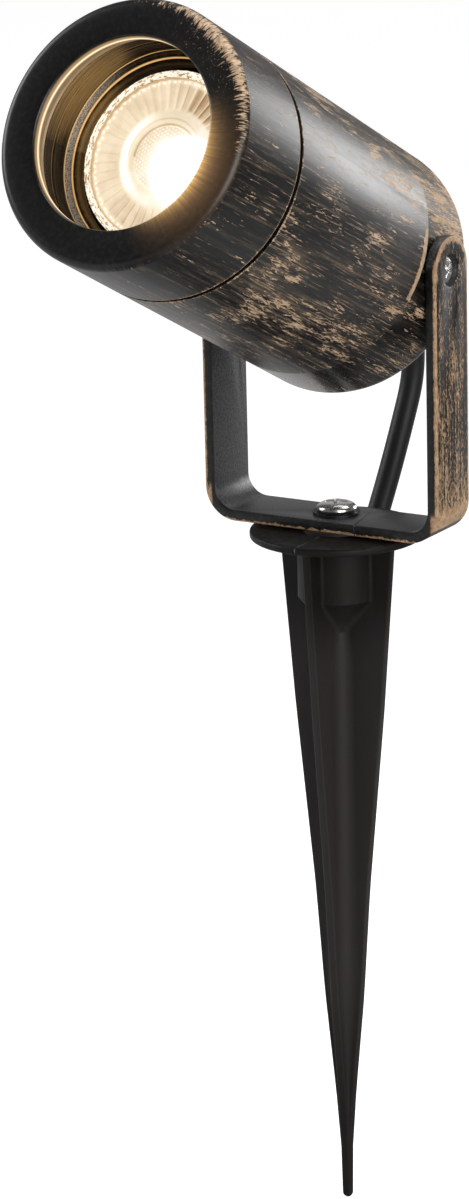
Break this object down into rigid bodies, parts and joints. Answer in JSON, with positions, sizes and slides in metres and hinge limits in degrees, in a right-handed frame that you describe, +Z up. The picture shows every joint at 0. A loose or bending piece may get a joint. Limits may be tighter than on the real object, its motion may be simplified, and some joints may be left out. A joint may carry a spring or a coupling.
{
  "type": "garden spike spotlight",
  "caption": "Round tilting spotlight head with a lit lamp behind glass, held in a U bracket on a cruciform ground spike, with a short supply cord.",
  "frame": {"origin": "centre of the underside of the spike's flange, at ground level", "axes": "+Z up along the spike's axis, X from arm to arm of the bracket, the lamp head faces -Y and up"},
  "size_m": [0.1026, 0.2293, 0.3848],
  "materials": {
    "spike_plastic": "moulded, fine satin",
    "antique_bronze": "cast, painted satin black and dry brushed with bronze",
    "satin_black": "cast, painted satin black, with bronze brushed on its edge",
    "zinc_steel": "bright zinc",
    "brass_part": "plain",
    "lens_glass": "clear, polished",
    "silicone": "translucent white",
    "sleeve_metal": "turned, satin",
    "lamp_white": "satin",
    "lamp_face": "fluted, lit warm white",
    "steatite": "unglazed ceramic",
    "nylon_white": "moulded",
    "nylon_black": "moulded",
    "black_rubber": "matt rubber",
    "core_brown": "smooth",
    "core_blue": "smooth",
    "core_green": "smooth, striped",
    "lead_sleeve": "woven glass sleeve",
    "bare_copper": "stranded copper"
  },
  "bodies": {
    "spike": {"spike": "spike_plastic", "spike_insert": "brass_part", "pan_washer": "nylon_black", "base_screw": "zinc_steel", "base_washer": "zinc_steel"},
    "bracket": {"bracket": "antique_bronze", "supply_cord": "black_rubber", "cord_coil": "black_rubber", "coil_tie": "nylon_black", "core_brown": "core_brown", "core_blue": "core_blue", "core_earth": "core_green", "core_strands": "bare_copper"},
    "head": {"rear_housing": "antique_bronze", "pivot_screws": "zinc_steel", "bezel_o_ring": "black_rubber", "lens_sleeve": "sleeve_metal", "lamp_holder": "steatite", "holder_contacts": "brass_part", "holder_screws": "zinc_steel", "holder_bridge": "zinc_steel", "bridge_screws": "zinc_steel", "terminal_block": "nylon_white", "terminal_screws": "brass_part", "block_screws": "zinc_steel", "earth_screw": "brass_part", "live_wire": "core_brown", "neutral_wire": "core_blue", "earth_wire": "core_green", "holder_leads": "lead_sleeve", "cord_entry": "black_rubber", "gland_body": "nylon_black", "gland_seal": "black_rubber", "gland_cap": "nylon_black", "gland_locknut": "nylon_black", "gland_washer": "black_rubber"},
    "lens": {"lens_glass": "lens_glass", "lens_gasket": "silicone"},
    "bezel": {"front_bezel": "satin_black"},
    "lamp": {"lamp_body": "lamp_white", "lamp_lens": "lamp_face", "lamp_pins": "zinc_steel"}
  },
  "joints": [
    {"name": "bracket_pan", "type": "hinge", "parent": "spike", "child": "bracket", "pos_m": [0, 0, 0.0032], "axis": [0, 0, 1], "range_deg": [-170, 170]},
    {"name": "head_tilt", "type": "hinge", "parent": "bracket", "child": "head", "pos_m": [0, 0, 0.0833], "axis": [-1, 0, 0], "range_deg": [-40, 60], "deforming": ["supply_cord"]},
    {"name": "lens_travel", "type": "slide", "parent": "head", "child": "lens", "axis": [0, -0.8988, 0.4384], "range_m": [0, 0.0097]},
    {"name": "bezel_turn", "type": "hinge", "parent": "lens", "child": "bezel", "pos_m": [0, 0, 0.0833], "axis": [0, -0.8988, 0.4384], "range_deg": [0, 1728]},
    {"name": "lamp_twist", "type": "hinge", "parent": "head", "child": "lamp", "pos_m": [0, 0, 0.0833], "axis": [0, -0.8988, 0.4384], "range_deg": [0, 20]}
  ],
  "couplings": [
    {"joint": "lens_travel", "follows": "bezel_turn", "m_per_rad": 0.00031831}
  ]
}
